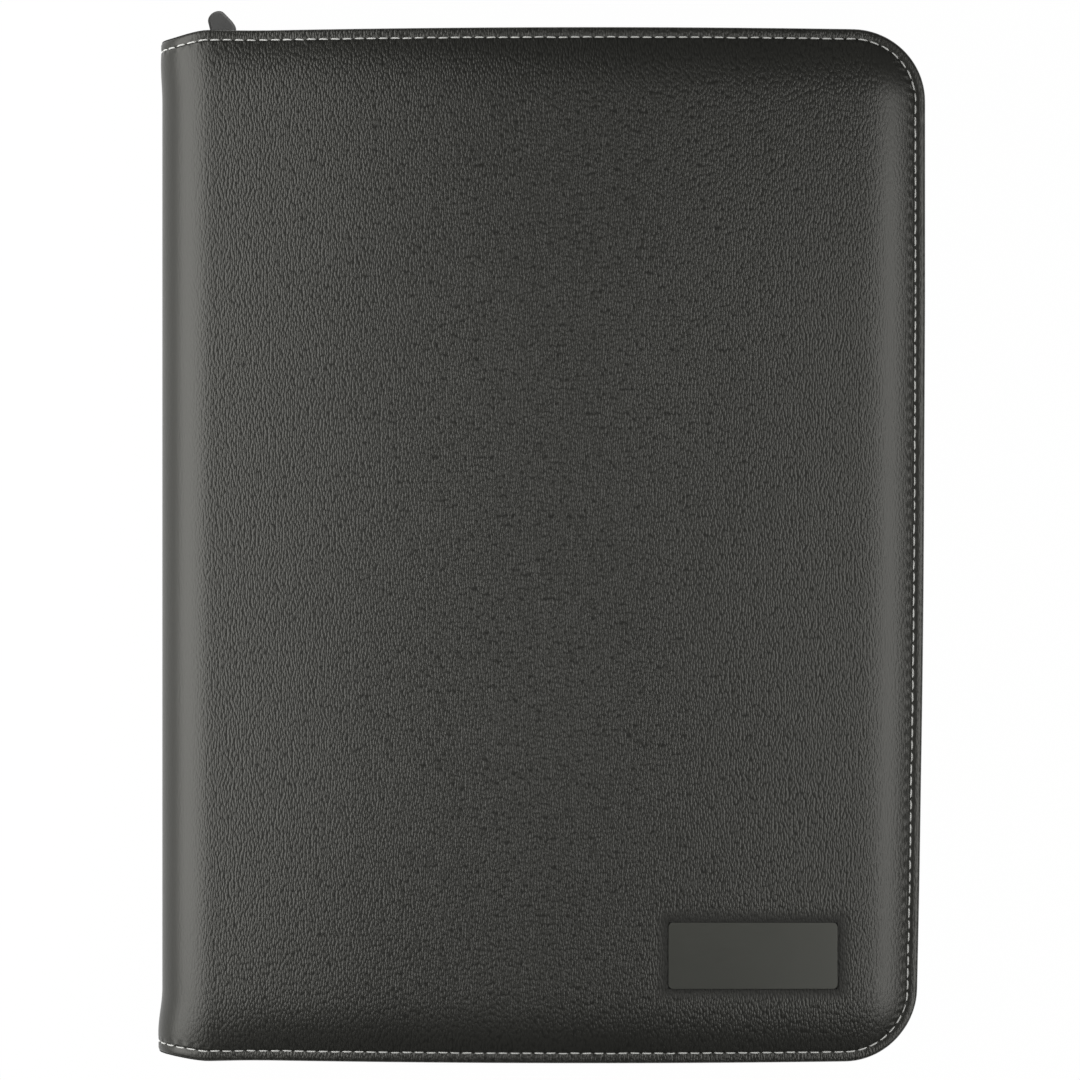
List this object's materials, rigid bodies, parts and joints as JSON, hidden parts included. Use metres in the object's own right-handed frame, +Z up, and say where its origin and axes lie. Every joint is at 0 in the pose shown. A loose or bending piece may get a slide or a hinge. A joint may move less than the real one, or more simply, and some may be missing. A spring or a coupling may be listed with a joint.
{
  "type": "business portfolio",
  "caption": "Zip-around padded A4 portfolio with a rounded spine, stitched hems, a zip with slider and puller, pad, pockets and pen loop; it opens flat about the spine.",
  "frame": {"origin": "middle of the back cover's resting face", "axes": "+X from the spine to the fore edge, +Y from the bottom edge to the top edge, +Z up through the thickness"},
  "size_m": [0.255, 0.3526, 0.0294],
  "materials": {
    "leather": "pebble grained leatherette, satin",
    "foam": "soft foam sheet",
    "board": "grey board",
    "lining": "fine woven nylon",
    "tape": "woven zip tape",
    "teeth": "moulded plastic",
    "metal": "dark satin plating",
    "plate": "smooth satin, bare",
    "paper": "uncoated",
    "card": "uncoated",
    "binding": "binding tape"
  },
  "bodies": {
    "back_cover": {"back_cover_skin": "leather", "back_foam": "foam", "back_board": "board", "back_lining": "lining", "back_zip_tape": "tape", "back_zip_teeth": "teeth", "back_top_stop": "metal", "back_bottom_stop": "metal", "pad_backing_card": "card", "pad_sleeve": "lining", "pad_sheets": "paper", "pad_binding": "binding"},
    "spine": {"spine_skin": "leather", "spine_board": "board", "spine_lining": "lining", "pen_loop": "leather"},
    "front_cover": {"front_cover_skin": "leather", "front_foam": "foam", "front_board": "board", "front_lining": "lining", "front_zip_tape": "tape", "front_zip_teeth": "teeth", "front_top_stop": "metal", "front_bottom_stop": "metal", "name_plate": "plate", "document_pocket": "lining", "card_pocket_1": "leather", "card_pocket_2": "leather", "card_pocket_3": "leather"},
    "zip_slider": {"slider_body": "metal", "slider_bail": "metal"},
    "pull_link": {"pull_link": "metal"},
    "pull_tab": {"pull_tab": "metal"}
  },
  "joints": [
    {"name": "spine_fold", "type": "hinge", "parent": "back_cover", "child": "spine", "pos_m": [-0.12305, 0, 0.00525], "axis": [0, -1, 0], "range_deg": [0, 90]},
    {"name": "cover_open", "type": "hinge", "parent": "spine", "child": "front_cover", "pos_m": [-0.12305, 0, 0.02415], "axis": [0, -1, 0], "range_deg": [0, 90]},
    {"name": "zip_travel", "type": "slide", "parent": "back_cover", "child": "zip_slider", "axis": [1, 0, 0], "range_m": [0, 0.185], "deforming": ["back_zip_teeth", "front_zip_teeth"]},
    {"name": "link_swing", "type": "hinge", "parent": "zip_slider", "child": "pull_link", "pos_m": [-0.0998, 0.1685, 0.0147], "axis": [0, 0, -1], "range_deg": [0, 60]},
    {"name": "tab_lift", "type": "hinge", "parent": "pull_link", "child": "pull_tab", "pos_m": [-0.10494, 0.16978, 0.0147], "axis": [0.809, 0.5878, 0], "range_deg": [0, 60]}
  ],
  "couplings": [
    {"joint": "spine_fold", "follows": "cover_open", "ratio": 1}
  ]
}
